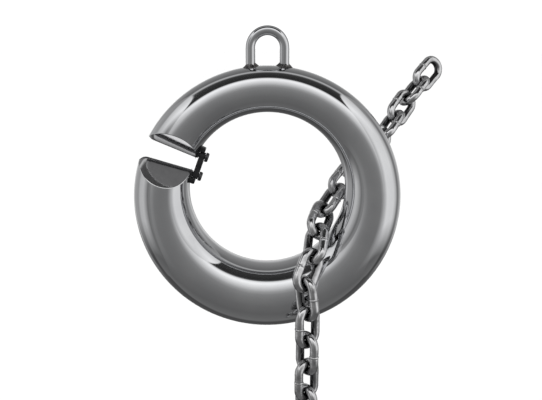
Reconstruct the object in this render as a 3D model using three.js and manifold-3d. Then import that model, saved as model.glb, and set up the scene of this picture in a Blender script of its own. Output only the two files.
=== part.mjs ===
// A chain-riding retrieval ring for a boat anchor: a hollow, mirror-polished C-shaped ring with a
// lifting bail, a slot that lets a chain in from the side, a rubber keeper strap across the slot,
// and the length of anchor chain that runs through it.
// Millimetres, +Z up. The origin is where a hook bears under the crown of the bail. The ring hangs
// in the XZ plane, and its front faces -Y.

import * as THREE from "three";
import { mergeVertices } from "three/addons/utils/BufferGeometryUtils.js";
import Module from "manifold-3d";

const wasm = await Module();
wasm.setup();

// ---- Driving dimensions -------------------------------------------------------------------

const fitGap = 0.3; // left between pieces that touch or are welded

// ring
const ringOuterRadius = 144;
const holeRadius = 84;
const holeLift = 12; // the hole sits above the centre, so the tube is thin on top and thick below
const shellWall = 3;

// slot
const slotAngle = THREE.MathUtils.degToRad(20); // of its middle plane, above the horizontal
const slotWidth = 13.95; // between the two ridges, at the hole
const slotFlare = THREE.MathUtils.degToRad(3.2); // each ridge opens outwards by this
const facetAngle = THREE.MathUtils.degToRad(37.5); // of each end facet, off a square cut
const endPlateThickness = 3;

// bail
const bailRod = 10;
const bailInnerWidth = 25;
const bailInnerHeight = 30.3; // clear height of the eye above the ring
const weldCollar = 3.5; // how far each weld bead spreads past the leg
const weldHeight = 3.2;
const backingPlate = { length: 56, width: 22, thickness: 3 };

// keeper
const screwSetback = 4.03; // from a ridge's inner end to the screw's axis
const screwRadius = 2.5;
const screwHead = { radius: 5, height: 3.6 };
const strapThickness = 6.3;
const strapWidth = 8.6;
const strapInset = 2.8; // from the inside of the hole to the strap
const shoulderLength = 5; // of the stop block past the strap's end
const shoulderRise = 5; // above the strap's seat
const lugOverhang = 3; // of the lug past its screw, towards the slot
const lugWidth = 10;

// chain
const wire = 9.5;
const pitch = 31.5; // inside length of a link
const linkInnerWidth = 13;
const linkCount = 16;
const seatNumber = 11; // the link that bears on the ring, counted from the top
const seatAngle = THREE.MathUtils.degToRad(-57); // where it bears: round the ring, from +X,
const seatTurn = THREE.MathUtils.degToRad(126); // and round the tube, from its outside to the front
const seatSlack = 2.4; // between the seat link's edge and the tube
const linkRoll = THREE.MathUtils.degToRad(-52); // of the lowest link's width, from +X
// How each link leans from the one below it, in degrees, from the lowest joint to the highest.
const bends = [0, 0, 0, 11, -36, 20, -17, -17, -4, -10, 3, 9, 0, -6, -2];

// ---- Facets of the curved surfaces ----------------------------------------------------------

const ringSteps = 48;
const tubeSides = 16;
const boreSides = 12;
const rodSides = 12;
const crownSteps = 8;
const legSteps = 2;
const wireSides = 8;

// ---- Solids -----------------------------------------------------------------------------------

// A closed three.js geometry as a manifold-3d solid.
function solid(geometry) {
  const bare = geometry.clone();
  bare.deleteAttribute("normal");
  bare.deleteAttribute("uv");
  const merged = mergeVertices(bare, 1e-4);
  return new wasm.Manifold(
    new wasm.Mesh({
      numProp: 3,
      vertProperties: new Float32Array(merged.attributes.position.array),
      triVerts: new Uint32Array(merged.index.array),
    }),
  );
}

// A manifold-3d solid as a flat-shaded three.js geometry.
function geometryOf(body) {
  const mesh = body.getMesh();
  const geometry = new THREE.BufferGeometry();
  geometry.setAttribute("position", new THREE.BufferAttribute(mesh.vertProperties, 3));
  geometry.setIndex(new THREE.BufferAttribute(mesh.triVerts, 1));
  geometry.computeVertexNormals();
  return geometry;
}

// Moves every vertex of a geometry by a function of its place and its uv.
function reshape(geometry, place) {
  const position = geometry.attributes.position;
  const uv = geometry.attributes.uv;
  const point = new THREE.Vector3();
  for (let i = 0; i < position.count; i++) {
    point.fromBufferAttribute(position, i);
    place(point, uv.getX(i), uv.getY(i));
    position.setXYZ(i, point.x, point.y, point.z);
  }
  return geometry;
}

// ---- The ring's tube ----------------------------------------------------------------------------

// The tube's section at an angle round the ring: the distance of its centre, and its radius.
function tubeSection(angle, inset) {
  const across = holeLift * Math.cos(angle);
  const hole = holeRadius + inset;
  const inner = holeLift * Math.sin(angle) + Math.sqrt(hole * hole - across * across);
  const outer = ringOuterRadius - inset;
  return { centre: (outer + inner) / 2, radius: (outer - inner) / 2 };
}

// The whole tube, without the slot, its surface set in by inset.
function ringTube(inset, sides) {
  const torus = new THREE.TorusGeometry(2, 1, sides, ringSteps);
  reshape(torus, (point, u, v) => {
    const angle = u * 2 * Math.PI;
    const turn = v * 2 * Math.PI;
    const section = tubeSection(angle, inset);
    const reach = section.centre + section.radius * Math.cos(turn);
    point.set(reach * Math.cos(angle), -section.radius * Math.sin(turn), reach * Math.sin(angle));
  });
  return solid(torus);
}

// Directions at the slot: outwards along its middle plane, and up across it.
const slotOut = new THREE.Vector3(-Math.cos(slotAngle), 0, Math.sin(slotAngle));
const slotAcross = new THREE.Vector3(Math.sin(slotAngle), 0, Math.cos(slotAngle));
const holeCentre = new THREE.Vector3(0, 0, holeLift);

// Places a geometry made with X across the slot, Y towards the back and Z outwards from the
// centre of the hole.
function atSlot(geometry) {
  const back = new THREE.Vector3(0, 1, 0);
  const basis = new THREE.Matrix4().makeBasis(slotAcross, back, slotOut);
  return geometry.applyMatrix4(basis.setPosition(holeCentre));
}

// The slot's empty space, widened on each side by extra: two ridges at the middle of the tube's
// depth, and facets that open to the front and the back.
function slotSpace(extra) {
  const depth = ringOuterRadius;
  const start = holeRadius / 2;
  const length = ringOuterRadius;
  const half = slotWidth / 2 + extra / Math.cos(facetAngle);
  const flank = half + depth * Math.tan(facetAngle);
  const outline = new THREE.Shape([
    new THREE.Vector2(half, 0),
    new THREE.Vector2(flank, depth),
    new THREE.Vector2(-flank, depth),
    new THREE.Vector2(-half, 0),
    new THREE.Vector2(-flank, -depth),
    new THREE.Vector2(flank, -depth),
  ]);
  const prism = new THREE.ExtrudeGeometry(outline, { depth: length, bevelEnabled: false });
  prism.translate(0, 0, start);
  reshape(prism, (point) => {
    point.x += Math.sign(point.x) * (point.z - holeRadius) * Math.tan(slotFlare);
  });
  return solid(atSlot(prism));
}

// A box from its lowest and highest corners.
function boxBetween(low, high) {
  const size = high.clone().sub(low);
  const box = new THREE.BoxGeometry(size.x, size.y, size.z);
  box.translate(low.x + size.x / 2, low.y + size.y / 2, low.z + size.z / 2);
  return solid(box);
}

const far = 2 * ringOuterRadius;
const frontHalf = boxBetween(new THREE.Vector3(-far, -far, -far), new THREE.Vector3(far, -fitGap / 2, far));
const backHalf = boxBetween(new THREE.Vector3(-far, fitGap / 2, -far), new THREE.Vector3(far, far, far));

const tubeSurface = ringTube(0, tubeSides);
const tubeClearance = ringTube(-fitGap, tubeSides);
const slot = slotSpace(0);

// ---- Keeper screws, drilled through the tube's wall ------------------------------------------------

const strapSeat = holeRadius - strapInset; // from the centre of the hole
const strapTop = strapSeat - strapThickness;
const screwTip = holeRadius + shellWall / 2;
const screwOffset = slotWidth / 2 + screwSetback; // from the slot's middle plane to each screw

// A cylinder on a screw's axis, between two distances from the centre of the hole.
function onScrewAxis(side, radius, from, to, sides = rodSides) {
  const cylinder = new THREE.CylinderGeometry(radius, radius, to - from, sides);
  cylinder.rotateX(Math.PI / 2);
  cylinder.translate(side * screwOffset, 0, (from + to) / 2);
  return solid(atSlot(cylinder));
}

function screwHole(side) {
  return onScrewAxis(side, screwRadius + fitGap, strapTop - far / 4, holeRadius + 2 * shellWall);
}

const drilled = screwHole(1).add(screwHole(-1));

// ---- Pieces of the ring -----------------------------------------------------------------------

function shellHalf(half) {
  const hollow = tubeSurface.subtract(ringTube(shellWall, boreSides));
  return geometryOf(hollow.subtract(slot).subtract(drilled).intersect(half));
}

// One of the four flat plates that close the tube's ends.
function endPlate(side, half) {
  const inside = ringTube(shellWall + fitGap, boreSides);
  const slab = slotSpace(endPlateThickness).subtract(slot);
  const reach = new THREE.BoxGeometry(far, far, far);
  reach.translate((side * far) / 2, 0, far / 2);
  const sideOfSlot = solid(atSlot(reach));
  return geometryOf(slab.intersect(inside).intersect(sideOfSlot).subtract(drilled).intersect(half));
}

const bailLegX = (bailInnerWidth + bailRod) / 2;
const bailCrownZ = ringOuterRadius + bailInnerHeight - bailInnerWidth / 2; // centre of its crown arc

function bail() {
  const path = new THREE.CurvePath();
  const foot = ringOuterRadius - bailRod;
  const corner = (x, z) => new THREE.Vector3(x, 0, z);
  path.add(new THREE.LineCurve3(corner(bailLegX, foot), corner(bailLegX, bailCrownZ)));
  class Crown extends THREE.Curve {
    getPoint(t, target = new THREE.Vector3()) {
      const angle = Math.PI * t;
      return target.set(bailLegX * Math.cos(angle), 0, bailCrownZ + bailLegX * Math.sin(angle));
    }
  }
  path.add(new Crown());
  path.add(new THREE.LineCurve3(corner(-bailLegX, bailCrownZ), corner(-bailLegX, foot)));
  const outline = new THREE.Shape();
  outline.absarc(0, 0, bailRod / 2, 0, 2 * Math.PI);
  const rod = new THREE.ExtrudeGeometry(outline, {
    curveSegments: rodSides,
    steps: 20,
    extrudePath: path,
  });
  return geometryOf(solid(rod).subtract(tubeClearance));
}

// The fillet bead round the foot of one leg.
function bailWeld(side) {
  const inner = bailRod / 2 + fitGap;
  const profile = [
    new THREE.Vector2(inner, -weldHeight),
    new THREE.Vector2(inner + weldCollar, -weldHeight),
    new THREE.Vector2(inner + weldCollar, 0),
    new THREE.Vector2(inner + weldCollar / 3, weldHeight * 0.6),
    new THREE.Vector2(inner, weldHeight),
    new THREE.Vector2(inner, -weldHeight),
  ];
  const bead = new THREE.LatheGeometry(profile, rodSides * 1.5);
  bead.rotateX(Math.PI / 2);
  const foot = Math.sqrt(ringOuterRadius ** 2 - bailLegX ** 2);
  bead.translate(side * bailLegX, 0, foot);
  return geometryOf(solid(bead).subtract(tubeClearance));
}

// The curved plate inside the tube that spreads the bail's load.
function bailBackingPlate() {
  const skin = shellWall + fitGap;
  const layer = ringTube(skin, boreSides).subtract(ringTube(skin + backingPlate.thickness, boreSides));
  const low = new THREE.Vector3(-backingPlate.length / 2, -backingPlate.width / 2, holeLift + holeRadius);
  const high = new THREE.Vector3(backingPlate.length / 2, backingPlate.width / 2, ringOuterRadius);
  low.z = (low.z + high.z) / 2;
  return geometryOf(layer.intersect(boxBetween(low, high)));
}

// The black lug under one end of the strap, with a shoulder that stops the strap's end.
function keeperLug(side) {
  const strapEnd = screwOffset + strapWidth / 2 + fitGap;
  const base = holeRadius + shellWall;
  const seat = strapSeat + fitGap;
  const outline = new THREE.Shape([
    new THREE.Vector2(screwOffset - lugOverhang, base),
    new THREE.Vector2(screwOffset - lugOverhang, seat),
    new THREE.Vector2(strapEnd, seat),
    new THREE.Vector2(strapEnd, seat - shoulderRise),
    new THREE.Vector2(strapEnd + shoulderLength, seat - shoulderRise + 1),
    new THREE.Vector2(strapEnd + shoulderLength, base),
  ]);
  const block = new THREE.ExtrudeGeometry(outline, { depth: lugWidth, bevelEnabled: false });
  block.translate(0, 0, -lugWidth / 2);
  block.rotateX(Math.PI / 2);
  if (side < 0) block.rotateZ(Math.PI);
  return geometryOf(solid(atSlot(block)).subtract(tubeClearance).subtract(screwHole(side)));
}

function keeperScrew(side) {
  const under = strapTop - fitGap;
  const shank = onScrewAxis(side, screwRadius, under - screwHead.height / 2, screwTip);
  const profile = [
    new THREE.Vector2(0, 0),
    new THREE.Vector2(screwHead.radius, 0),
    new THREE.Vector2(screwHead.radius, screwHead.height * 0.45),
    new THREE.Vector2(screwHead.radius * 0.7, screwHead.height * 0.85),
    new THREE.Vector2(0, screwHead.height),
  ];
  const head = new THREE.LatheGeometry(profile, rodSides);
  head.rotateX(-Math.PI / 2);
  head.translate(side * screwOffset, 0, under);
  return geometryOf(solid(atSlot(head)).add(shank));
}

// The strap: a round eye on the upper screw, and a hook, open to the back, round the lower one.
function keeperStrap() {
  const endRadius = strapWidth / 2;
  const outline = new THREE.Shape();
  outline.moveTo(-screwOffset, -endRadius);
  outline.lineTo(screwOffset, -endRadius);
  outline.absarc(screwOffset, 0, endRadius, -Math.PI / 2, Math.PI / 2);
  outline.lineTo(-screwOffset, endRadius);
  outline.absarc(-screwOffset, 0, endRadius, Math.PI / 2, Math.PI * 1.5);
  const eye = new THREE.Path();
  eye.absarc(screwOffset, 0, screwRadius + fitGap, 0, 2 * Math.PI);
  outline.holes.push(eye);
  const band = new THREE.ExtrudeGeometry(outline, {
    curveSegments: rodSides / 2,
    depth: strapThickness,
    bevelEnabled: false,
  });
  band.translate(0, 0, strapTop);
  // The hook's mouth is wide enough for the arc on which the strap swings clear.
  const swingArc = endRadius ** 2 / (4 * screwOffset);
  const mouth = screwRadius + fitGap + swingArc;
  const notch = new THREE.BoxGeometry(2 * mouth, strapWidth, far);
  notch.translate(-screwOffset, strapWidth / 2, 0);
  const throat = new THREE.CylinderGeometry(mouth, mouth, far, rodSides);
  throat.rotateX(Math.PI / 2);
  throat.translate(-screwOffset, 0, 0);
  const hook = solid(atSlot(notch)).add(solid(atSlot(throat)));
  return geometryOf(solid(atSlot(band)).subtract(hook));
}

// ---- The chain ------------------------------------------------------------------------------------

const crownReach = (pitch + wire) / 2; // from a link's middle to its crown wire's centre
const linkBend = (linkInnerWidth + wire) / 2; // radius of the crown wire's centre line
const linkStep = crownReach - wire - fitGap; // from a neighbour's crown wire to this link's middle

// One oval link in its own frame: long in Z, wide in X.
function chainLink() {
  const steps = 2 * (crownSteps + legSteps);
  const straight = crownReach - linkBend;
  const ring = new THREE.TorusGeometry(2, 1, wireSides, steps);
  return reshape(ring, (point, u, v) => {
    const station = Math.round(u * steps) % steps;
    const half = crownSteps + legSteps;
    const upper = station < half;
    const along = station % half;
    const turn = (Math.PI * Math.min(along, crownSteps)) / crownSteps;
    const down = Math.max(0, along - crownSteps) / legSteps; // down the leg that follows the crown
    const side = upper ? 1 : -1;
    const normal = new THREE.Vector3(Math.cos(turn) * side, 0, Math.sin(turn) * side);
    const rise = side * straight * (1 - 2 * down);
    const reach = linkBend + (wire / 2) * Math.cos(v * 2 * Math.PI);
    point.set(reach * normal.x, (-wire / 2) * Math.sin(v * 2 * Math.PI), reach * normal.z + rise);
  });
}

// ---- Assembly ---------------------------------------------------------------------------------------

const steel = { color: 0xc9cbcd, roughness: 0.08, metalness: 1 };
const innerSteel = { color: 0x8d9093, roughness: 0.5, metalness: 1 };
const chainSteel = { color: 0x8f9193, roughness: 0.25, metalness: 1 };
const screwSteel = { color: 0x9a9c9f, roughness: 0.3, metalness: 1 };
const blackRubber = { color: 0x0c0c0d, roughness: 0.55, metalness: 0 };
const blackPaint = { color: 0x141415, roughness: 0.4, metalness: 0 };

function piece(name, geometry, look) {
  const mesh = new THREE.Mesh(geometry, new THREE.MeshStandardMaterial(look));
  mesh.name = name;
  return mesh;
}

// Everything welded or screwed to the ring, about the ring's own centre.
function ringAssembly() {
  const group = new THREE.Group();
  group.add(
    piece("front_shell", shellHalf(frontHalf), steel),
    piece("rear_shell", shellHalf(backHalf), steel),
    piece("upper_end_front_plate", endPlate(1, frontHalf), steel),
    piece("upper_end_rear_plate", endPlate(1, backHalf), steel),
    piece("lower_end_front_plate", endPlate(-1, frontHalf), steel),
    piece("lower_end_rear_plate", endPlate(-1, backHalf), steel),
    piece("bail", bail(), steel),
    piece("bail_weld_left", bailWeld(-1), steel),
    piece("bail_weld_right", bailWeld(1), steel),
    piece("bail_backing_plate", bailBackingPlate(), innerSteel),
    piece("upper_keeper_lug", keeperLug(1), blackPaint),
    piece("lower_keeper_lug", keeperLug(-1), blackPaint),
    piece("upper_keeper_screw", keeperScrew(1), screwSteel),
    piece("lower_keeper_screw", keeperScrew(-1), screwSteel),
    piece("keeper_strap", keeperStrap(), blackRubber),
  );
  return group;
}

// The centre of the link that bears on the tube.
function seatCentre() {
  const { centre, radius } = tubeSection(seatAngle, 0);
  const standOff = radius + seatSlack + wire + linkInnerWidth / 2;
  const reach = centre + standOff * Math.cos(seatTurn);
  const back = -standOff * Math.sin(seatTurn);
  return new THREE.Vector3(reach * Math.cos(seatAngle), back, reach * Math.sin(seatAngle));
}

// The chain, from its lowest link up. Each link stands in its lower neighbour's upper crown,
// a quarter turn from it, and leans about that crown's wire. The run below the ring is plumb.
function chain() {
  const group = new THREE.Group();
  let link = new THREE.Group();
  link.rotation.z = linkRoll;
  group.add(link);
  for (let number = linkCount; number >= 1; number--) {
    const name = "link_" + String(number).padStart(2, "0");
    const oval = piece(name, chainLink(), chainSteel);
    link.add(oval);
    if (number === seatNumber) {
      const middle = oval.getWorldPosition(new THREE.Vector3());
      group.position.copy(seatCentre()).sub(middle);
    }
    if (number === 1) break;
    const crown = new THREE.Group();
    crown.position.z = crownReach;
    crown.rotation.x = THREE.MathUtils.degToRad(bends[linkCount - number]);
    link.add(crown);
    const next = new THREE.Group();
    next.position.z = linkStep;
    next.rotation.z = (number % 2 ? 1 : -1) * (Math.PI / 2);
    crown.add(next);
    link = next;
  }
  return group;
}

const group = new THREE.Group();
const ringCentred = new THREE.Group();
ringCentred.position.z = -(ringOuterRadius + bailInnerHeight);
ringCentred.add(ringAssembly(), chain());
group.add(ringCentred);

export default group;
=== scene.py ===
# %% [markdown]
# # A chain-riding retrieval ring for a boat anchor
#
# The object is a hollow, mirror-polished C-shaped ring that rides on an anchor chain. A rod bail
# on top takes the lifting line, a slot on the left lets the chain in, and a rubber keeper strap
# closes the slot from the inside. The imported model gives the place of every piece. This script
# adds the fine surfaces, the finishes, the light and the camera. Lengths are in metres.

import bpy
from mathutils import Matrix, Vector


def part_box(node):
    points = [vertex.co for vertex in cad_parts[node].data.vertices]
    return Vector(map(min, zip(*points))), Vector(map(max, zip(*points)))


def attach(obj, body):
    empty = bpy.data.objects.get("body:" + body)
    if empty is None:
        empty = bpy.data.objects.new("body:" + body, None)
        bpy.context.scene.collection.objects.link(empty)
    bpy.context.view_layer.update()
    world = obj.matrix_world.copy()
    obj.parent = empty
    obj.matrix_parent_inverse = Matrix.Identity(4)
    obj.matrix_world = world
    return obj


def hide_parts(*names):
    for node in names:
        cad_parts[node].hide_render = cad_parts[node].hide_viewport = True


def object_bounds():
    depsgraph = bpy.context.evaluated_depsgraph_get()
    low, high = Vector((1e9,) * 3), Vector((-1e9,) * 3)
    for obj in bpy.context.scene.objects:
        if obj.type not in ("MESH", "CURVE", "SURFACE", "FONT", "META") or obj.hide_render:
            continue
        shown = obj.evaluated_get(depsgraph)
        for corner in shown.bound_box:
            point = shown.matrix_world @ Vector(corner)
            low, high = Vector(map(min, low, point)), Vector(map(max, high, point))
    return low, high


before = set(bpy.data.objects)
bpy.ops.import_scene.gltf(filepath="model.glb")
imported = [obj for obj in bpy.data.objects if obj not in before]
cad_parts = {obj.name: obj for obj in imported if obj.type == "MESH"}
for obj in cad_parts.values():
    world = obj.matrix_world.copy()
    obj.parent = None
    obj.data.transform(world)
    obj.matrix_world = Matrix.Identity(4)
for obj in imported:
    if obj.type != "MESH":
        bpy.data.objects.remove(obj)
cad_low, cad_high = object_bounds()
print("model box", [round(v, 4) for v in cad_low], [round(v, 4) for v in cad_high])

# %% What the other cells use
from math import acos, atan2, cos, exp, hypot, pi, radians, sin, sqrt, tan

import bmesh
import bpy
import numpy
from mathutils import Matrix, Vector, noise

MM = 0.001
UP = Vector((0, 0, 1))

# %% [markdown]
# ## Sizes of the ring
#
# Two circles describe the ring, its outside and its hole. The hole's centre is lifted, which
# makes the tube thin on top and thick below. The outside and the thickest place, at the bottom,
# come from the shell's box, and the hole follows from those two and the lift. Everything that lies
# on the ring is worked out from these circles, so a change to one of them carries the rest along.

# %% The ring's circles
shell_low, shell_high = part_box("front_shell")
OUTER = (shell_high.x - shell_low.x) / 2
CENTRE = Vector((0, 0, shell_low.z + OUTER))
THICKEST = -2 * shell_low.y
LIFT = 12 * MM
HOLE = OUTER - THICKEST + LIFT
HOLE_CENTRE = CENTRE + LIFT * UP
print("outside", round(OUTER / MM, 1), "hole", round(HOLE / MM, 1), "mm")

# %% The tube's section and surface at any angle
def tube_section(angle):
    across = LIFT * cos(angle)
    inner = LIFT * sin(angle) + sqrt(HOLE**2 - across**2)
    return (OUTER + inner) / 2, (OUTER - inner) / 2


def tube_point(angle, turn):
    centre, radius = tube_section(angle)
    reach = centre + radius * cos(turn)
    return CENTRE + Vector((reach * cos(angle), -radius * sin(turn), reach * sin(angle)))


# %% [markdown]
# ## The slot
#
# The slot runs out from the hole's centre, twenty degrees above level. Each end of the tube is
# closed by two flat facets that meet in a ridge, so the chain is led in from the front and the
# back. The ridge is dressed round, and its outer corner is rounded more, where the chain knocks.
# A function of the place gives half the gap there, and both the tube and the facets follow it.

# %% The slot's directions and its gap
SLOT_ANGLE = radians(20)
SLOT_WIDTH = 13.95 * MM
SLOT_FLARE = radians(3.2)
FACET_ANGLE = radians(37.5)
RIDGE_ROUND = 2.6 * MM
CORNER_ROUND = 9 * MM
CORNER_DROP = 4.5 * MM
SLOT_OUT = Vector((-cos(SLOT_ANGLE), 0, sin(SLOT_ANGLE)))
SLOT_ACROSS = Vector((sin(SLOT_ANGLE), 0, cos(SLOT_ANGLE)))
SLOT_TIP = sqrt(OUTER**2 - (LIFT * cos(SLOT_ANGLE)) ** 2) - LIFT * sin(SLOT_ANGLE)
AT_SLOT = Matrix((SLOT_ACROSS, (0, 1, 0), SLOT_OUT)).transposed().to_4x4()
AT_SLOT.translation = HOLE_CENTRE


def half_gap(out, depth):
    past = max(0, out - SLOT_TIP + CORNER_ROUND) / CORNER_ROUND
    corner = CORNER_DROP * past**3
    facet = tan(FACET_ANGLE) * (hypot(depth, RIDGE_ROUND) - RIDGE_ROUND)
    return SLOT_WIDTH / 2 + (out - HOLE) * tan(SLOT_FLARE) + facet + corner


# %% Where the tube's surface meets the gap, found by halving between solid tube and open slot
# Both angles are seen from the ring's centre.
OPEN_SLOT = radians(154.5)
SOLID_TUBE = radians(70)
HALVINGS = 40


def end_angle(side, turn):
    clear, cut = OPEN_SLOT - side * SOLID_TUBE, OPEN_SLOT
    for _ in range(HALVINGS):
        angle = (clear + cut) / 2
        place = tube_point(angle, turn) - HOLE_CENTRE
        inside = side * place.dot(SLOT_ACROSS) > half_gap(place.dot(SLOT_OUT), place.y)
        clear, cut = (angle, cut) if inside else (clear, angle)
    return clear


print("narrowest gap", round(2 * half_gap(HOLE, 0) / MM, 2), "mm")

# %% [markdown]
# ## A common finish for every piece
#
# Each piece below ends the same way: doubles are merged, the faces are turned outwards, the
# piece is told which body it rides on and which finish it carries, and the solids it stands for are
# hidden.

# %% Helpers that end a piece
DOUBLE = 0.005 * MM


def loop_after(result):
    return [g for g in result["geom"] if isinstance(g, bmesh.types.BMEdge) and g.is_boundary]


def verts_after(result):
    return [g for g in result["geom"] if isinstance(g, bmesh.types.BMVert)]


def end_piece(name, bm, materials, body, nodes, crease=None):
    bmesh.ops.remove_doubles(bm, verts=bm.verts, dist=DOUBLE)
    bmesh.ops.recalc_face_normals(bm, faces=bm.faces)
    mesh = bpy.data.meshes.new(name)
    bm.to_mesh(mesh)
    bm.free()
    mesh.shade_smooth()
    if crease:
        mesh.set_sharp_from_angle(angle=radians(crease))
    for material in materials:
        mesh.materials.append(material)
    piece = bpy.data.objects.new(name, mesh)
    bpy.context.scene.collection.objects.link(piece)
    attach(piece, body)
    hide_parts(*nodes)
    return piece


# %% [markdown]
# ## Finishes
#
# Nearly everything here is one metal, stainless steel: mirror-polished on the ring, linished on
# the slot's facets, tumbled on the chain, heat-stained at the welds and machined on the screws.
# What tells them apart is how rough each is and at what scale, so each finish is noise on Object
# coordinates that drives roughness, tone and a very small bump. The keeper is rubber, on lugs
# with a dipped coat, and is made in the same way without the metal.

# %% Node helpers
def add(tree, kind, **values):
    made = tree.nodes.new(kind)
    for name, value in values.items():
        made.inputs[name].default_value = value
    return made


def start_material(name, metallic):
    material = bpy.data.materials.new(name)
    material.use_nodes = True
    tree = material.node_tree
    shader = tree.nodes["Principled BSDF"]
    shader.inputs["Metallic"].default_value = metallic
    place = add(tree, "ShaderNodeTexCoord").outputs["Object"]
    return material, tree, shader, place


def stretched(tree, place, scale):
    mapping = add(tree, "ShaderNodeMapping", Scale=scale)
    tree.links.new(place, mapping.inputs["Vector"])
    return mapping.outputs["Vector"]


def cloud(tree, place, scale, detail=3.0):
    made = add(tree, "ShaderNodeTexNoise", Scale=scale, Detail=detail, Roughness=0.55)
    tree.links.new(place, made.inputs["Vector"])
    return made.outputs["Fac"]


def spread(tree, value, low, high, start=0.35, stop=0.65):
    made = add(tree, "ShaderNodeMapRange")
    ends = {"From Min": start, "From Max": stop, "To Min": low, "To Max": high}
    for name, end in ends.items():
        made.inputs[name].default_value = end
    tree.links.new(value, made.inputs["Value"])
    return made.outputs["Result"]


def tone(tree, value, dark, light, start=0.3, stop=0.7):
    made = tree.nodes.new("ShaderNodeValToRGB")
    first, last = made.color_ramp.elements
    first.position, last.position = start, stop
    first.color, last.color = (*dark, 1), (*light, 1)
    tree.links.new(value, made.inputs["Fac"])
    return made.outputs["Color"]


def mixed(tree, share, first, second):
    made = add(tree, "ShaderNodeMix")
    made.data_type = "RGBA"
    tree.links.new(share, made.inputs["Factor"])
    for socket, value in zip([i for i in made.inputs if i.type == "RGBA"], (first, second)):
        if isinstance(value, tuple):
            socket.default_value = value
        else:
            tree.links.new(value, socket)
    return next(o for o in made.outputs if o.type == "RGBA")


# Each bump is a cloud, how strongly it shows and how high it stands.
def bumped(tree, shader, bumps):
    below = None
    for value, strength, distance in bumps:
        made = add(tree, "ShaderNodeBump", Strength=strength, Distance=distance)
        tree.links.new(value, made.inputs["Height"])
        if below:
            tree.links.new(below, made.inputs["Normal"])
        below = made.outputs["Normal"]
    tree.links.new(below, shader.inputs["Normal"])


# %% Mirror-polished steel: a slow waviness, buffing marks and faint smudges
def mirror_steel():
    material, tree, shader, place = start_material("mirror_polished_steel", 1.0)
    smudge = cloud(tree, place, scale=26.0, detail=4.0)
    buffing = cloud(tree, stretched(tree, place, (1, 1, 7)), scale=420.0, detail=2.0)
    wave = cloud(tree, place, scale=14.0, detail=1.0)
    pale = tone(tree, smudge, dark=(0.60, 0.605, 0.62), light=(0.66, 0.665, 0.675))
    tree.links.new(pale, shader.inputs["Base Color"])
    tree.links.new(spread(tree, smudge, low=0.03, high=0.075), shader.inputs["Roughness"])
    bumped(tree, shader, [(wave, 0.25, 0.4 * MM), (buffing, 0.06, 0.01 * MM)])
    return material


MIRROR = mirror_steel()

# %% Linished steel on the slot's facets: flat, with a cloudy grain
def linished_steel():
    material, tree, shader, place = start_material("linished_facet_steel", 1.0)
    mottle = cloud(tree, place, scale=180.0, detail=5.0)
    grain = cloud(tree, place, scale=1400.0, detail=2.0)
    pale = tone(tree, mottle, dark=(0.66, 0.66, 0.67), light=(0.73, 0.73, 0.735))
    tree.links.new(pale, shader.inputs["Base Color"])
    tree.links.new(spread(tree, mottle, low=0.045, high=0.09), shader.inputs["Roughness"])
    bumped(tree, shader, [(grain, 0.08, 0.02 * MM)])
    return material


LINISHED = linished_steel()

# %% Tumbled chain steel: bright and dented, with painted shade darkening the inside of each link
INWARD = "faces_link_middle"


def tumbled_steel():
    material, tree, shader, place = start_material("tumbled_chain_steel", 1.0)
    blotch = cloud(tree, place, scale=120.0, detail=5.0)
    dents = cloud(tree, place, scale=260.0, detail=2.0)
    grain = cloud(tree, place, scale=1500.0, detail=2.0)
    pale = tone(tree, blotch, dark=(0.40, 0.40, 0.405), light=(0.74, 0.74, 0.75))
    # Painted shade: a point that faces the link's middle is painted near-black, standing in for the
    # shade inside the link.
    inward = tree.nodes.new("ShaderNodeAttribute")
    inward.attribute_name = INWARD
    painted_shade_share = spread(tree, inward.outputs["Fac"], 0.0, 1.0, start=0.6, stop=0.97)
    painted_shade_tone = (0.07, 0.07, 0.072, 1)
    steel = mixed(tree, painted_shade_share, pale, painted_shade_tone)
    tree.links.new(steel, shader.inputs["Base Color"])
    tree.links.new(spread(tree, blotch, low=0.15, high=0.05), shader.inputs["Roughness"])
    bumped(tree, shader, [(dents, 0.35, 0.5 * MM), (grain, 0.15, 0.03 * MM)])
    return material


TUMBLED = tumbled_steel()

# %% Weld metal: heat-stained dark, with grey between the pits
def weld_steel():
    material, tree, shader, place = start_material("heat_stained_weld", 1.0)
    stain = cloud(tree, place, scale=230.0, detail=4.0)
    pits = cloud(tree, place, scale=900.0, detail=3.0)
    tint = tone(tree, stain, dark=(0.015, 0.016, 0.022), light=(0.30, 0.29, 0.28))
    tree.links.new(tint, shader.inputs["Base Color"])
    tree.links.new(spread(tree, pits, low=0.22, high=0.5), shader.inputs["Roughness"])
    bumped(tree, shader, [(stain, 0.5, 0.6 * MM), (pits, 0.3, 0.1 * MM)])
    return material


WELD = weld_steel()

# %% Grey steels: the screws, the dressed ridges with their painted dark reflection, and the plate that is hidden in the tube
def grey_steel(name, scale, dark, light, smooth, rough):
    material, tree, shader, place = start_material(name, 1.0)
    marks = cloud(tree, place, scale, detail=4.0)
    tree.links.new(tone(tree, marks, dark, light), shader.inputs["Base Color"])
    tree.links.new(spread(tree, marks, smooth, rough), shader.inputs["Roughness"])
    bumped(tree, shader, [(marks, 0.2, 0.05 * MM)])
    return material


MACHINED = grey_steel(
    "machined_screw_steel",
    scale=800.0,
    dark=(0.035, 0.035, 0.037),
    light=(0.13, 0.13, 0.135),
    smooth=0.25,
    rough=0.45,
)
# The ridge steel's roughness is the dressed finish; its dark tone is a painted dark reflection.
RIDGE_PAINTED_DARK = grey_steel(
    "dressed_ridge_painted_reflection",
    scale=500.0,
    dark=(0.09, 0.09, 0.095),
    light=(0.2, 0.2, 0.205),
    smooth=0.16,
    rough=0.3,
)
MILLED = grey_steel(
    "mill_finish_steel",
    scale=300.0,
    dark=(0.22, 0.22, 0.23),
    light=(0.36, 0.36, 0.37),
    smooth=0.4,
    rough=0.65,
)

# %% Rubber for the strap and a thick dipped coat for its lugs
POLYMER_SHINE = 0.3


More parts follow.
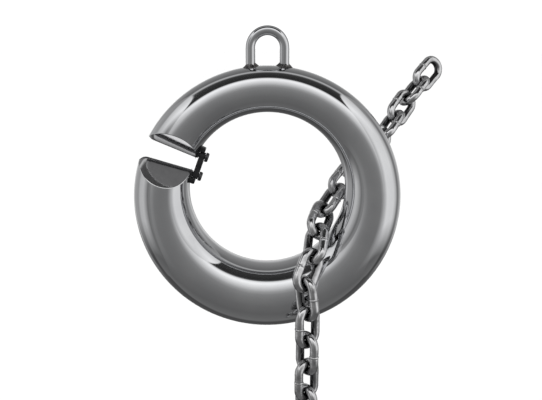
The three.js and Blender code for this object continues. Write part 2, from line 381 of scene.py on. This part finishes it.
def black_polymer(name, scale, dark, light, smooth, rough):
    material, tree, shader, place = start_material(name, 0.0)
    shader.inputs["Specular IOR Level"].default_value = POLYMER_SHINE
    wear = cloud(tree, place, scale=160.0, detail=4.0)
    grain = cloud(tree, place, scale, detail=3.0)
    tree.links.new(tone(tree, wear, dark, light), shader.inputs["Base Color"])
    tree.links.new(spread(tree, wear, smooth, rough), shader.inputs["Roughness"])
    bumped(tree, shader, [(wear, 0.3, 0.4 * MM), (grain, 0.25, 0.06 * MM)])
    return material


RUBBER = black_polymer(
    "strap_rubber",
    scale=1400.0,
    dark=(0.005, 0.005, 0.006),
    light=(0.014, 0.014, 0.015),
    smooth=0.42,
    rough=0.62,
)
DIPPED = black_polymer(
    "dipped_black_coat",
    scale=900.0,
    dark=(0.004, 0.004, 0.005),
    light=(0.012, 0.012, 0.013),
    smooth=0.24,
    rough=0.45,
)
print("finishes", len(bpy.data.materials))

# %% [markdown]
# ## The ring
#
# The real ring is two pressed half shells, welded round the middle and polished until the seam is
# gone, with plates welded into both ends of the slot. A mirror shows every kink in a surface, so
# it can't be a few facets: a circle is spun into a long open tube, and each of its points is then
# set exactly on the ring. Each station leans a little, so the first and last lie in the slot's
# facets. The ends are closed by drawing the edge in, loop by loop, down to the ridge, where the
# front and the back meet. The polisher can't reach the ridge, so it is only dressed and rougher;
# its darker tone is a painted dark reflection. A small bevel is what the polisher leaves on an edge.

# %% Spin the tube and set it on the ring
SIDES = 96
STATIONS = 288
SWEEP = radians(350)
REACH = 2
SLACK = radians(1)
TURN_DIGITS = 4


def spun_tube():
    bm = bmesh.new()
    bmesh.ops.create_circle(bm, segments=SIDES, radius=1)
    bmesh.ops.translate(bm, verts=bm.verts, vec=(REACH, 0, 0))
    outline = bm.verts[:] + bm.edges[:]
    bmesh.ops.spin(
        bm, geom=outline, cent=(0, 0, 0), axis=(0, -1, 0), angle=SWEEP, steps=STATIONS
    )
    ends = {}
    for vert in bm.verts:
        x, y, z = vert.co
        share = ((atan2(z, x) + SLACK) % (2 * pi) - SLACK) / SWEEP
        turn = atan2(-y, hypot(x, z) - REACH)
        key = round(turn, TURN_DIGITS)
        if key not in ends:
            ends[key] = end_angle(-1, turn), end_angle(1, turn) + 2 * pi
        first, last = ends[key]
        vert.co = tube_point(first + (last - first) * share, turn)
    return bm


# %% Close one end: the edge is drawn in to a share of its depth, and to no more than a set depth
PLACE_DIGITS = 7
DRAW_IN = [(0.7, 1), (0.45, 1), (0.3, 7 * MM), (0.22, 4.5 * MM), (0.15, 3 * MM)]
DRAW_IN += [(0.1, 2 * MM), (0.06, 1.2 * MM), (0.03, 0.6 * MM), (0, 0)]


def across_slot(edge):
    middle = (edge.verts[0].co + edge.verts[1].co) / 2
    return (middle - HOLE_CENTRE).dot(SLOT_ACROSS)


def close_end(bm, side):
    open_edges = [edge for edge in bm.edges if edge.is_boundary]
    edge_loop = [edge for edge in open_edges if side * across_slot(edge) > 0]
    rim = [vert.co - HOLE_CENTRE for edge in edge_loop for vert in edge.verts]
    depth_at = {round(place.dot(SLOT_OUT), PLACE_DIGITS): abs(place.y) for place in rim}
    for share, most in DRAW_IN:
        result = bmesh.ops.extrude_edge_only(bm, edges=edge_loop)
        for vert in verts_after(result):
            place = vert.co - HOLE_CENTRE
            out = place.dot(SLOT_OUT)
            start = depth_at[min(depth_at, key=lambda known: abs(known - out))]
            depth = min(share * start, most) * (1 if place.y > 0 else -1)
            across = side * half_gap(out, depth)
            vert.co = HOLE_CENTRE + out * SLOT_OUT + across * SLOT_ACROSS + Vector((0, depth, 0))
        edge_loop = loop_after(result)


# %% Bevel the polished edges and keep the flat facets flat
EDGE_ROUND = 0.55 * MM
RIDGE_PAINTED_BAND = 3 * MM
SLIVER = 0.02 * MM
RING_FINISHES = [MIRROR, LINISHED, RIDGE_PAINTED_DARK]


def make_ring():
    bm = spun_tube()
    tube_faces = set(bm.faces)
    close_end(bm, 1)
    close_end(bm, -1)
    # Faces near the ridge get the darker ridge steel, a painted dark reflection; the rest are
    # linished.
    for face in set(bm.faces) - tube_faces:
        on_ridge = abs(face.calc_center_median().y) < RIDGE_PAINTED_BAND
        face.material_index = RING_FINISHES.index(RIDGE_PAINTED_DARK if on_ridge else LINISHED)
    rim = [e for e in bm.edges if len(set(e.link_faces) & tube_faces) == 1]
    bmesh.ops.remove_doubles(bm, verts=bm.verts, dist=SLIVER)
    rim = [edge for edge in rim if edge.is_valid and edge.calc_length() > 0]
    result = bmesh.ops.bevel(
        bm, geom=rim, offset=EDGE_ROUND, segments=3, profile=0.5, affect="EDGES", material=-1
    )
    bevelled = set(result["faces"])
    for edge in bm.edges:
        edge.smooth = len(set(edge.link_faces) & bevelled) != 1
    return end_piece("ring_shell", bm, RING_FINISHES, "ring", RING_NODES)


ENDS = ["upper_end", "lower_end"]
RING_NODES = ["front_shell", "rear_shell"]
RING_NODES += [f"{end}_{half}_plate" for end in ENDS for half in ("front", "rear")]
ring_shell = make_ring()
print("ring shell", len(ring_shell.data.polygons), "faces")

# %% [markdown]
# ## The bail
#
# The bail is one length of round rod, bent to a U and welded on by its feet. A circle is pushed
# up one leg, spun over the crown and pushed down the other leg, which is how the rod was bent.

# %% The bail's rod
bail_low, bail_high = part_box("bail")
ROD = bail_high.y - bail_low.y
LEG_X = (bail_high.x - bail_low.x - ROD) / 2
CROWN_Z = bail_high.z - LEG_X - ROD / 2
FOOT_Z = CENTRE.z + OUTER - ROD
ROD_SIDES = 48
BAIL_STEPS = 48


def pushed(bm, edges, vec):
    result = bmesh.ops.extrude_edge_only(bm, edges=edges)
    bmesh.ops.translate(bm, verts=verts_after(result), vec=vec)
    return loop_after(result)


def over_crown(bm, edges, centre, steps):
    outline = edges + list({vert for edge in edges for vert in edge.verts})
    result = bmesh.ops.spin(
        bm, geom=outline, cent=centre, axis=(0, -1, 0), angle=pi, steps=steps
    )
    return [g for g in result["geom_last"] if isinstance(g, bmesh.types.BMEdge)]


def make_bail():
    bm = bmesh.new()
    bmesh.ops.create_circle(bm, segments=ROD_SIDES, radius=ROD / 2)
    bmesh.ops.translate(bm, verts=bm.verts, vec=(LEG_X, 0, FOOT_Z))
    rise = Vector((0, 0, CROWN_Z - FOOT_Z))
    edges = pushed(bm, bm.edges[:], rise)
    edges = over_crown(bm, edges, (0, 0, CROWN_Z), BAIL_STEPS)
    pushed(bm, edges, -rise)
    bmesh.ops.holes_fill(bm, edges=[e for e in bm.edges if e.is_boundary], sides=0)
    return end_piece("bail_rod", bm, [MIRROR], "ring", ["bail"], crease=60)


bail = make_bail()
print(bail.name, round(ROD / MM, 2), "mm thick, legs", round(2 * LEG_X / MM, 2), "mm apart")

# %% [markdown]
# ## The bail's welds
#
# Each foot has a fillet of weld metal, left as laid: hollow in profile, rippled by the torch, and
# spreading unevenly over the ring. Rings of points run from the leg down to the ring's own
# surface, so the bead sits on the curve wherever it spreads.

# %% A bead that follows the ring
BEAD_SPREAD = 3.8 * MM
BEAD_RISE = 3.2 * MM
BEAD_RINGS = 10
BEAD_SIDES = 120
BEAD_RIPPLES = 15
BEAD_UNEVEN = 0.45
BEAD_LUMPS = 2.2
BEAD_HOLLOW = 1.7
BEAD_BITE = 0.2 * MM
BEAD_SINK = 0.25 * MM
BEAD_ROOT = 3.5 * MM
RIPPLE_DEPTH = 0.14
RIPPLE_WANDER = 2
RIPPLE_DRIFT = 1.5
LEG_CHANGE = 3.0


def ring_top(x, y):
    centre, radius = tube_section(acos(x / OUTER))
    reach = centre + sqrt(radius**2 - y**2)
    return CENTRE.z + sqrt(reach**2 - x**2)


def bead_point(side, share, angle):
    spot = Vector((cos(angle), sin(angle), side * LEG_CHANGE))
    uneven = 1 + BEAD_UNEVEN * noise.noise(BEAD_LUMPS * spot)
    wander = RIPPLE_WANDER * noise.noise(RIPPLE_DRIFT * spot)
    ripple = RIPPLE_DEPTH * sin(BEAD_RIPPLES * angle + wander) * sin(pi * share)
    radius = ROD / 2 - BEAD_BITE + BEAD_SPREAD * uneven * share * (1 + ripple)
    x = side * LEG_X + radius * cos(angle)
    y = radius * sin(angle)
    rise = BEAD_RISE * uneven * (1 - share) ** BEAD_HOLLOW * (1 + ripple)
    return Vector((x, y, ring_top(x, y) + rise - BEAD_SINK * share**8))


def make_weld(side, name):
    bm = bmesh.new()
    bmesh.ops.create_circle(bm, segments=BEAD_SIDES, radius=1)
    edges = bm.edges[:]
    for ring_number in range(1, BEAD_RINGS + 1):
        result = bmesh.ops.extrude_edge_only(bm, edges=edges)
        bmesh.ops.translate(bm, verts=verts_after(result), vec=(0, 0, 1))
        edges = loop_after(result)
        edges = [edge for edge in edges if edge.verts[0].co.z > ring_number - 0.5]
    for vert in bm.verts:
        share = vert.co.z / BEAD_RINGS
        vert.co = bead_point(side, share, atan2(vert.co.y, vert.co.x))
    rims = [edge for edge in bm.edges if edge.is_boundary]
    bottom = bmesh.ops.extrude_edge_only(bm, edges=rims)
    bmesh.ops.translate(bm, verts=verts_after(bottom), vec=(0, 0, -BEAD_ROOT))
    bmesh.ops.bridge_loops(bm, edges=[edge for edge in bm.edges if edge.is_boundary])
    nodes = [f"bail_weld_{name}"]
    return end_piece(f"weld_bead_{name}", bm, [WELD], "ring", nodes)


for side, name in ((-1, "left"), (1, "right")):
    bead = make_weld(side, name)
    print(bead.name, len(bead.data.polygons), "faces")

# %% [markdown]
# ## The keeper
#
# Two coated lugs stand on the inside of the hole, one on each side of the slot. The strap lies
# across them: its upper end is a round eye that it swings on, and its lower end is a hook, open to
# the back, that snaps round the lower screw. All are made across the slot, in the slot's own
# directions, and then put in place: x across the slot, y to the back, z out from the hole.

# %% Sizes of the keeper
STRAP_THICK = 6.3 * MM
STRAP_WIDE = 8.6 * MM
SEAT_LIFT = 2.8 * MM
STRAP_SEAT = HOLE - SEAT_LIFT
STRAP_TOP = STRAP_SEAT - STRAP_THICK
SCREW_SETBACK = 4.03 * MM
SCREW_OFFSET = SLOT_WIDTH / 2 + SCREW_SETBACK
SCREW_RADIUS = 2.5 * MM
GAP = 0.3 * MM
SHARP = radians(60)

# %% The lugs: a block, with a shoulder behind the strap's end
LUG_WIDE = 10 * MM
LUG_OVERHANG = 3 * MM
LUG_ROOT = 3 * MM
LUG_ROUND = 1.3 * MM
SHOULDER = 5 * MM
FACES_HOLE = -0.9


def make_lug(side, name):
    near = SCREW_OFFSET - LUG_OVERHANG
    strap_end = SCREW_OFFSET + STRAP_WIDE / 2 + GAP
    far = strap_end + SHOULDER
    deep = HOLE + LUG_ROOT
    top = STRAP_SEAT + GAP
    bm = bmesh.new()
    bmesh.ops.create_cube(bm, size=1)
    bmesh.ops.scale(bm, verts=bm.verts, vec=(far - near, LUG_WIDE, deep - top))
    bmesh.ops.translate(bm, verts=bm.verts, vec=((near + far) / 2, 0, (deep + top) / 2))
    whole = bm.verts[:] + bm.edges[:] + bm.faces[:]
    bmesh.ops.bisect_plane(bm, geom=whole, plane_co=(strap_end, 0, 0), plane_no=(1, 0, 0))
    bm.faces.ensure_lookup_table()
    inner = [face for face in bm.faces if face.normal.z < FACES_HOLE]
    block = [face for face in inner if face.calc_center_median().x > strap_end]
    raised = bmesh.ops.extrude_face_region(bm, geom=block)
    bmesh.ops.delete(bm, geom=block, context="FACES")
    bmesh.ops.translate(bm, verts=verts_after(raised), vec=(0, 0, -SHOULDER))
    sharp = [e for e in bm.edges if e.calc_face_angle(0) > SHARP]
    bmesh.ops.bevel(
        bm, geom=sharp, offset=LUG_ROUND, segments=4, profile=0.5, affect="EDGES", material=-1
    )
    if side < 0:
        bmesh.ops.rotate(bm, verts=bm.verts, cent=(0, 0, 0), matrix=Matrix.Rotation(pi, 3, "Z"))
    bm.transform(AT_SLOT)
    nodes = [f"{name}_keeper_lug"]
    return end_piece(
        f"coated_lug_{name}", bm, [DIPPED], "ring", nodes, crease=50
    )


# %% The screws: a round head with a driver recess, on a shank through strap and lug
HEAD_RADIUS = 5 * MM
HEAD_HEIGHT = 3.6 * MM
HEAD_SIDES = 36
HEAD_ROUND = 1.5 * MM
RECESS_RIM = 1.3 * MM
RECESS_DEPTH = 1.6 * MM
SCREW_ROOT = 1.5 * MM


def face_height(face):
    return face.calc_center_median().z


def make_screw(side, name):
    bm = bmesh.new()
    under = STRAP_TOP - GAP
    tip = HOLE + SCREW_ROOT
    bmesh.ops.create_cone(
        bm,
        cap_ends=True,
        segments=HEAD_SIDES,
        radius1=HEAD_RADIUS,
        radius2=HEAD_RADIUS,
        depth=HEAD_HEIGHT,
    )
    bmesh.ops.translate(bm, verts=bm.verts, vec=(0, 0, under - HEAD_HEIGHT / 2))
    crown = min(bm.faces, key=face_height)
    sole = max(bm.faces, key=face_height)
    rim = crown.edges[:]
    bmesh.ops.bevel(
        bm, geom=rim, offset=HEAD_ROUND, segments=5, profile=0.5, affect="EDGES", material=-1
    )
    crown = min(bm.faces, key=face_height)
    bmesh.ops.inset_region(bm, faces=[crown], thickness=RECESS_RIM)
    recess = bmesh.ops.extrude_discrete_faces(bm, faces=[crown])["faces"]
    bmesh.ops.translate(bm, verts=recess[0].verts, vec=(0, 0, RECESS_DEPTH))
    bmesh.ops.inset_region(bm, faces=[sole], thickness=HEAD_RADIUS - SCREW_RADIUS)
    shank = bmesh.ops.extrude_discrete_faces(bm, faces=[sole])["faces"]
    bmesh.ops.translate(bm, verts=shank[0].verts, vec=(0, 0, tip - under))
    bmesh.ops.translate(bm, verts=bm.verts, vec=(side * SCREW_OFFSET, 0, 0))
    bm.transform(AT_SLOT)
    nodes = [f"{name}_keeper_screw"]
    return end_piece(
        f"cap_screw_{name}", bm, [MACHINED], "ring", nodes, crease=35
    )


# %% The strap: an outline with an eye and a hook, given its thickness and soft edges
ROUND_STEPS = 16
LIP_STEPS = 14
EYE_SIDES = 24
STRAP_ROUND = 0.45 * MM
LEVEL = 0.001 * MM


def lies_level(edge):
    first, last = edge.verts
    return abs(first.co.z - last.co.z) < LEVEL


def arc(bm, vert, centre, angle, steps):
    result = bmesh.ops.spin(
        bm, geom=[vert], cent=(*centre, 0), axis=(0, 0, 1), angle=angle, steps=steps
    )
    return next(g for g in result["geom_last"] if isinstance(g, bmesh.types.BMVert))


def make_strap():
    bm = bmesh.new()
    end = STRAP_WIDE / 2
    # The hook's mouth is wider than the screw, so that it clears it as the strap swings.
    mouth = SCREW_RADIUS + GAP + end**2 / (4 * SCREW_OFFSET)
    first = bm.verts.new((-SCREW_OFFSET + mouth, end, 0))
    corner = bm.verts.new((SCREW_OFFSET, end, 0))
    bm.edges.new((first, corner))
    corner = arc(bm, corner, (SCREW_OFFSET, 0), -pi, ROUND_STEPS)
    front = bm.verts.new((-SCREW_OFFSET, -end, 0))
    bm.edges.new((corner, front))
    wrap = acos(mouth / end)
    lip = arc(bm, front, (-SCREW_OFFSET, 0), wrap - pi, LIP_STEPS)
    throat = bm.verts.new((-SCREW_OFFSET - mouth, 0, 0))
    bm.edges.new((lip, throat))
    inner = arc(bm, throat, (-SCREW_OFFSET, 0), pi, ROUND_STEPS)
    bm.edges.new((inner, first))
    at_eye = Matrix.Translation((SCREW_OFFSET, 0, 0))
    bmesh.ops.create_circle(bm, segments=EYE_SIDES, radius=SCREW_RADIUS + GAP, matrix=at_eye)
    bmesh.ops.remove_doubles(bm, verts=bm.verts, dist=DOUBLE)
    bmesh.ops.triangle_fill(bm, edges=bm.edges[:], use_beauty=True)
    raised = bmesh.ops.extrude_face_region(bm, geom=bm.faces[:], use_keep_orig=True)
    bmesh.ops.translate(bm, verts=verts_after(raised), vec=(0, 0, STRAP_THICK))
    bmesh.ops.recalc_face_normals(bm, faces=bm.faces)
    sharp = [e for e in bm.edges if lies_level(e) and e.calc_face_angle(0) > SHARP]
    bmesh.ops.bevel(
        bm, geom=sharp, offset=STRAP_ROUND, segments=3, profile=0.5, affect="EDGES", material=-1
    )
    bmesh.ops.translate(bm, verts=bm.verts, vec=(0, 0, STRAP_TOP))
    bm.transform(AT_SLOT)
    nodes = ["keeper_strap"]
    return end_piece("rubber_strap", bm, [RUBBER], "keeper", nodes, crease=40)


# %% Make the keeper
for side, name in ((1, "upper"), (-1, "lower")):
    make_lug(side, name)
    make_screw(side, name)
strap = make_strap()
print("strap", len(strap.data.polygons), "faces")

# %% [markdown]
# ## The chain
#
# Each link is bar, bent into an oval and butt-welded in the middle of one leg, which leaves a
# small raised collar. The links are tumbled, not polished one by one, so they keep dents. Their
# insides get painted shade, darker where a point faces the link's middle, and each point carries
# how far it does. One wire is swept round the oval as it was bent: up a leg, over the crown, down
# the other leg and round again. Then each link is put where its solid lies, found from the
# directions in which the solid is longest, next longest and thinnest.

# %% Sizes of a link
LINK_SIDES = 32
CROWN_STEPS = 20
WIRE_RADIUS = 4.7 * MM
LINK_BEND = 11.25 * MM
LINK_STRAIGHT = 9.25 * MM
LEG_STOPS = [-6, -3.5, -2.4, -1.7, -1.2, -0.8, -0.4, 0, 0.4, 0.8, 1.2, 1.7, 2.4, 3.5, 6]
WIRE_SEAM = 0.01 * MM


def link_leg(bm, edges, way):
    height = -way * LINK_STRAIGHT
    for stop in [*LEG_STOPS, LINK_STRAIGHT / MM]:
        edges = pushed(bm, edges, (0, 0, way * stop * MM - height))
        height = way * stop * MM
    return edges


# %% Weld collar and dents, as small moves of the surface
WELD_COLLAR = 0.42 * MM
COLLAR_ZONE = 2.5 * MM
COLLAR_WIDTH = 0.55 * MM
COLLAR_WAVES = 2
COLLAR_ROUGH = 0.8
COLLAR_CHANGE = 5.1
GROOVE_SHARE = 0.45
GROOVE_AT = 1.3 * MM
GROOVE_WIDTH = 0.316 * MM
DENT = 0.22 * MM
DENT_SIZE = 7 * MM
DENT_LEVEL = 0.4
DENT_CHANGE = 11.3


def collar(height):
    crest = exp(-((height / COLLAR_WIDTH) ** 2))
    groove = exp(-(((abs(height) - GROOVE_AT) / GROOVE_WIDTH) ** 2))
    return WELD_COLLAR * (crest - GROOVE_SHARE * groove)


def worn(place, number):
    if abs(place.z) < COLLAR_ZONE and place.x > 0:
        leg = Vector((place.x - LINK_BEND, place.y, 0))
        round_leg = COLLAR_WAVES * atan2(leg.y, leg.x)
        spot = Vector((round_leg, number * COLLAR_CHANGE, place.z / MM))
        rough = 1 + COLLAR_ROUGH * noise.noise(spot)
        place = place + leg.normalized() * collar(place.z) * rough
    spot = place / DENT_SIZE + Vector((number * DENT_CHANGE, 0, 0))
    return place - place.normalized() * DENT * (DENT_LEVEL + noise.noise(spot))


# %% The surface of one link
def link_surface(number):
    bm = bmesh.new()
    bmesh.ops.create_circle(bm, segments=LINK_SIDES, radius=WIRE_RADIUS)
    bmesh.ops.translate(bm, verts=bm.verts, vec=(LINK_BEND, 0, -LINK_STRAIGHT))
    edges = link_leg(bm, bm.edges[:], 1)
    edges = over_crown(bm, edges, (0, 0, LINK_STRAIGHT), CROWN_STEPS)
    edges = link_leg(bm, edges, -1)
    over_crown(bm, edges, (0, 0, -LINK_STRAIGHT), CROWN_STEPS)
    bmesh.ops.remove_doubles(bm, verts=bm.verts, dist=WIRE_SEAM)
    # How far a point faces the link's middle; it leads the painted shade in the chain's material.
    inward = bm.verts.layers.float.new(INWARD)
    for vert in bm.verts:
        past = max(0, abs(vert.co.z) - LINK_STRAIGHT)
        vert[inward] = 0.5 + 0.5 * (LINK_BEND - hypot(vert.co.x, past)) / WIRE_RADIUS
        vert.co = worn(vert.co, number)
    return bm


# %% Where a link's solid lies, with its welded leg to the front
def link_place(node):
    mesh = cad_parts[node].data
    corners = [tuple(round(c, PLACE_DIGITS) for c in v.co) for v in mesh.vertices]
    points = numpy.unique(corners, axis=0)
    middle = points.mean(axis=0)
    _, axes = numpy.linalg.eigh(numpy.cov((points - middle).T))
    tall = Vector(axes[:, 2])
    wide = Vector(axes[:, 1])
    wide = -wide if wide.y > 0 else wide
    place = Matrix((wide, tall.cross(wide), tall)).transposed().to_4x4()
    place.translation = middle
    return place


LINKS = 16
for number in range(1, LINKS + 1):
    node = f"link_{number:02d}"
    bm = link_surface(number)
    bm.transform(link_place(node))
    link = end_piece(f"chain_{node}", bm, [TUMBLED], node, [node])
print(LINKS, "links,", len(link.data.polygons), "faces each")

# %% [markdown]
# ## The backing plate
#
# A curved plate inside the tube spreads the bail's pull. Its solid is already right, and it is
# never seen, so it keeps its mesh and only gets a mill finish.

# %% Finish the plate
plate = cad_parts["bail_backing_plate"]
plate.data.materials.clear()
plate.data.materials.append(MILLED)

# %% [markdown]
# ## Light
#
# A mirror has no look of its own: it shows the room. So the room is drawn with care, as bands of
# light: a grey front, a bright stretch above it, a dark gap straight overhead, and pale walls at
# both sides with narrow dark gaps. The gaps give the crisp dark lines that tell the eye the steel
# is polished. The one overhead is only in the middle of the room, and sags towards its ends. The
# room is a colour of direction alone, and only reflections see it. The floor and the background
# get a plain white.

# %% The room's bands: each mark is an angle in degrees and the light there
FRONT = [(-180, 0.8), (-166, 0.32), (-152, 0.2), (-140, 0.1), (-108, 0.08), (-98, 0.2)]
FRONT += [(-60, 0.16), (-30, 0.19), (0, 0.26), (14, 0.32), (24, 0.48), (34, 0.8), (42, 1.05)]
OVER = FRONT + [(58, 1.25), (80, 1.0), (104, 0.8), (112, 0.4), (150, 0.35), (165, 0.6), (180, 0.9)]
GAPS = FRONT + [(53, 1.4), (59, 1.1), (63, 0.1), (67, 0.03), (87, 0.05), (93, 0.1), (99, 0.62)]
GAPS += [(104, 0.55), (108, 0.18), (150, 0.36), (165, 0.6), (180, 0.8)]
ROUND = [(-180, 0.9), (-150, 0.55), (-120, 0.45), (-107, 0.42), (-95, 0.66), (-76, 0.7), (-62, 0.42)]
ROUND += [(-55, 0.22), (-48, 0.3), (-30, 0.4), (0, 0.36), (22, 0.38), (40, 0.75), (54, 1.0)]
ROUND += [(88, 0.95), (103, 0.62), (112, 0.25), (120, 0.25), (128, 0.48), (160, 0.55), (180, 0.9)]
BRIGHTEST = 2.0
GAP_SAG = 0.9
MIDDLE_ENDS = 0.655, 0.67
WALL_STARTS = 0.45, 0.8
WALL_HEIGHT = 0.35, 0.6
PLAIN_WHITE = 1.15


def band(tree, across, ahead, stops):
    turn = add(tree, "ShaderNodeMath")
    turn.operation = "ARCTAN2"
    tree.links.new(across, turn.inputs[0])
    tree.links.new(ahead, turn.inputs[1])
    share = spread(tree, turn.outputs["Value"], 0.0, 1.0, start=-pi, stop=pi)
    made = tree.nodes.new("ShaderNodeValToRGB")
    marks = made.color_ramp.elements
    for angle, light in stops[1:-1]:
        marks.new((angle + 180) / 360).color = (*[light / BRIGHTEST] * 3, 1)
    for mark, light in ((marks[0], stops[0][1]), (marks[-1], stops[-1][1])):
        mark.color = (*[light / BRIGHTEST] * 3, 1)
    tree.links.new(share, made.inputs["Fac"])
    return made.outputs["Color"]


def reckon(tree, operation, first, second=0.0):
    made = add(tree, "ShaderNodeMath")
    made.operation = operation
    for socket, value in zip(made.inputs, (first, second)):
        if isinstance(value, float):
            socket.default_value = value
        else:
            tree.links.new(value, socket)
    return made.outputs["Value"]


def studio_room():
    world = bpy.data.worlds.new("studio")
    bpy.context.scene.world = world
    world.use_nodes = True
    tree = world.node_tree
    tree.nodes.clear()
    axes = add(tree, "ShaderNodeSeparateXYZ")
    tree.links.new(add(tree, "ShaderNodeTexCoord").outputs["Generated"], axes.inputs[0])
    right, up = axes.outputs["X"], axes.outputs["Z"]
    ahead = reckon(tree, "MULTIPLY", axes.outputs["Y"], -1.0)
    aside = reckon(tree, "ABSOLUTE", right)
    level = spread(tree, reckon(tree, "ABSOLUTE", up), 1.0, 0.0, *WALL_HEIGHT)
    sagging = reckon(tree, "MULTIPLY", reckon(tree, "MULTIPLY", aside, aside), GAP_SAG)
    gaps = band(tree, reckon(tree, "ADD", up, sagging), ahead, GAPS)
    middle = spread(tree, aside, 1.0, 0.0, *MIDDLE_ENDS)
    over = mixed(tree, middle, band(tree, up, ahead, OVER), gaps)
    beside = reckon(tree, "MULTIPLY", spread(tree, aside, 0.0, 1.0, *WALL_STARTS), level)
    light = mixed(tree, beside, over, band(tree, right, ahead, ROUND))
    room = add(tree, "ShaderNodeBackground", Strength=BRIGHTEST)
    tree.links.new(light, room.inputs["Color"])
    plain = add(tree, "ShaderNodeBackground", Color=(1, 1, 1, 1), Strength=PLAIN_WHITE)
    pick = add(tree, "ShaderNodeMixShader")
    tree.links.new(add(tree, "ShaderNodeLightPath").outputs["Is Glossy Ray"], pick.inputs["Fac"])
    tree.links.new(plain.outputs[0], pick.inputs[1])
    tree.links.new(room.outputs[0], pick.inputs[2])
    tree.links.new(pick.outputs[0], add(tree, "ShaderNodeOutputWorld").inputs["Surface"])


studio_room()

# %% [markdown]
# ## Floor, view and camera
#
# The ring hangs, so the floor lies well below the chain. It is plain and pale, and the polished
# steel doesn't mirror it, because the room already has a lower half. The camera stands in front
# and a little above, as one looks at a ring that hangs at chest height.

# %% The floor
FLOOR_DROP = 0.3
FLOOR_RADIUS = 12
FLOOR_SIDES = 96


def make_floor():
    bm = bmesh.new()
    bmesh.ops.create_circle(bm, cap_ends=True, segments=FLOOR_SIDES, radius=FLOOR_RADIUS)
    bmesh.ops.translate(bm, verts=bm.verts, vec=(0, 0, cad_low.z - FLOOR_DROP))
    mesh = bpy.data.meshes.new("floor")
    bm.to_mesh(mesh)
    bm.free()
    material, tree, shader, place = start_material("pale_floor", 0.0)
    soft = cloud(tree, place, scale=0.8, detail=2.0)
    pale = tone(tree, soft, dark=(0.9, 0.9, 0.9), light=(0.92, 0.92, 0.92))
    tree.links.new(pale, shader.inputs["Base Color"])
    shader.inputs["Roughness"].default_value = 0.9
    mesh.materials.append(material)
    floor = bpy.data.objects.new("floor", mesh)
    bpy.context.scene.collection.objects.link(floor)
    floor.visible_glossy = False


make_floor()

# %% The camera
CAMERA_DISTANCE = 0.768
CAMERA_RISE = radians(15.44)
CAMERA_SIDE = radians(-0.6)
LENS = 47.0
SENSOR = 36.0
RING_LEFT_OF_MIDDLE = 0.0065


def make_camera():
    lens = bpy.data.cameras.new("camera")
    lens.lens = LENS
    lens.sensor_width = SENSOR
    lens.shift_x = RING_LEFT_OF_MIDDLE
    camera = bpy.data.objects.new("camera", lens)
    bpy.context.scene.collection.objects.link(camera)
    level = cos(CAMERA_RISE)
    back = Vector((sin(CAMERA_SIDE) * level, -cos(CAMERA_SIDE) * level, sin(CAMERA_RISE)))
    camera.location = CENTRE + CAMERA_DISTANCE * back
    camera.rotation_euler = back.to_track_quat("Z", "Y").to_euler()
    bpy.context.scene.camera = camera


make_camera()
bpy.context.scene.view_settings.view_transform = "Standard"
